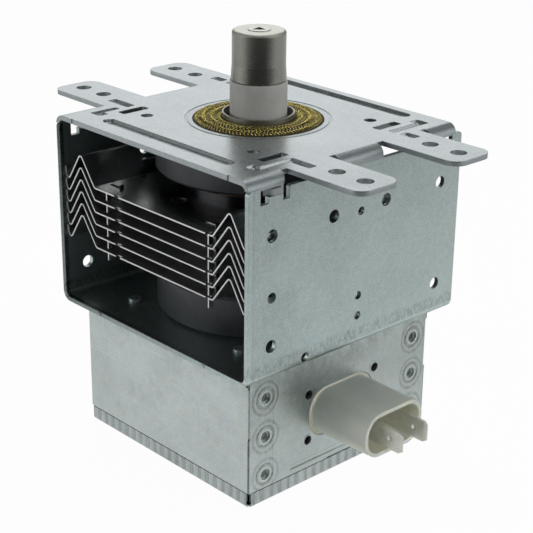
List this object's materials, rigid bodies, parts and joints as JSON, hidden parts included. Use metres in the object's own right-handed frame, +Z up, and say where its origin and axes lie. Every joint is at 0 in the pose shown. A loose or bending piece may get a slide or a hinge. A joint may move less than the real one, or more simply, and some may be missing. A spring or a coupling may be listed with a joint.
{
  "type": "microwave oven magnetron",
  "caption": "Packaged magnetron with a capped antenna on a slotted top plate, ring magnets and finned anode in an open yoke, and a filter box with an oval plug socket.",
  "frame": {"origin": "on the antenna's axis at the upper face of the top plate, which meets the waveguide", "axes": "+Z up along the antenna, +X out through the plug socket, -Y out of the front air opening"},
  "size_m": [0.1304, 0.083, 0.1247],
  "materials": {
    "zinc_plated_steel": "zinc plated, fine rolled grain",
    "ferrite": "matt dark grey ferrite",
    "aluminium": "bright rolled sheet",
    "copper": "bare copper",
    "enamelled_copper": "enamelled copper wire",
    "plated_sleeve": "nickel plated",
    "satin_nickel": "satin nickel",
    "alumina": "unglazed",
    "brass_mesh": "knitted wire",
    "refractory_metal": "dull",
    "tinned_brass": "tin plated",
    "white_plastic": "moulded",
    "cream_plastic": "cast resin"
  },
  "bodies": {
    "root": {"anode_cylinder": "copper", "anode_vane_1": "copper", "anode_vane_10": "copper", "anode_vane_2": "copper", "anode_vane_3": "copper", "anode_vane_4": "copper", "anode_vane_5": "copper", "anode_vane_6": "copper", "anode_vane_7": "copper", "anode_vane_8": "copper", "anode_vane_9": "copper", "antenna_cap": "satin_nickel", "antenna_lead": "copper", "capacitor_body": "cream_plastic", "center_lead": "refractory_metal", "center_lug": "tinned_brass", "ceramic_seat": "plated_sleeve", "connector_shell": "white_plastic", "cooling_fin_1": "aluminium", "cooling_fin_2": "aluminium", "cooling_fin_3": "aluminium", "cooling_fin_4": "aluminium", "cooling_fin_5": "aluminium", "cooling_fin_6": "aluminium", "earth_plate": "zinc_plated_steel", "exhaust_tube": "copper", "filament": "refractory_metal", "filter_case": "zinc_plated_steel", "filter_lid": "zinc_plated_steel", "filter_side_plate": "zinc_plated_steel", "front_choke_coil": "enamelled_copper", "front_choke_core": "ferrite", "front_terminal_tab": "tinned_brass", "input_sleeve": "plated_sleeve", "lower_end_hat": "refractory_metal", "lower_inner_strap": "copper", "lower_magnet": "ferrite", "lower_outer_strap": "copper", "lower_pole_piece": "plated_sleeve", "lower_yoke": "zinc_plated_steel", "mesh_gasket": "brass_mesh", "output_ceramic": "alumina", "output_seal_ring": "plated_sleeve", "output_sleeve": "plated_sleeve", "rear_choke_coil": "enamelled_copper", "rear_choke_core": "ferrite", "rear_terminal_tab": "tinned_brass", "side_lead": "refractory_metal", "side_lug": "tinned_brass", "stem_ceramic": "alumina", "upper_end_hat": "refractory_metal", "upper_inner_strap": "copper", "upper_magnet": "ferrite", "upper_outer_strap": "copper", "upper_pole_piece": "plated_sleeve", "upper_yoke": "zinc_plated_steel"}
  },
  "joints": []
}
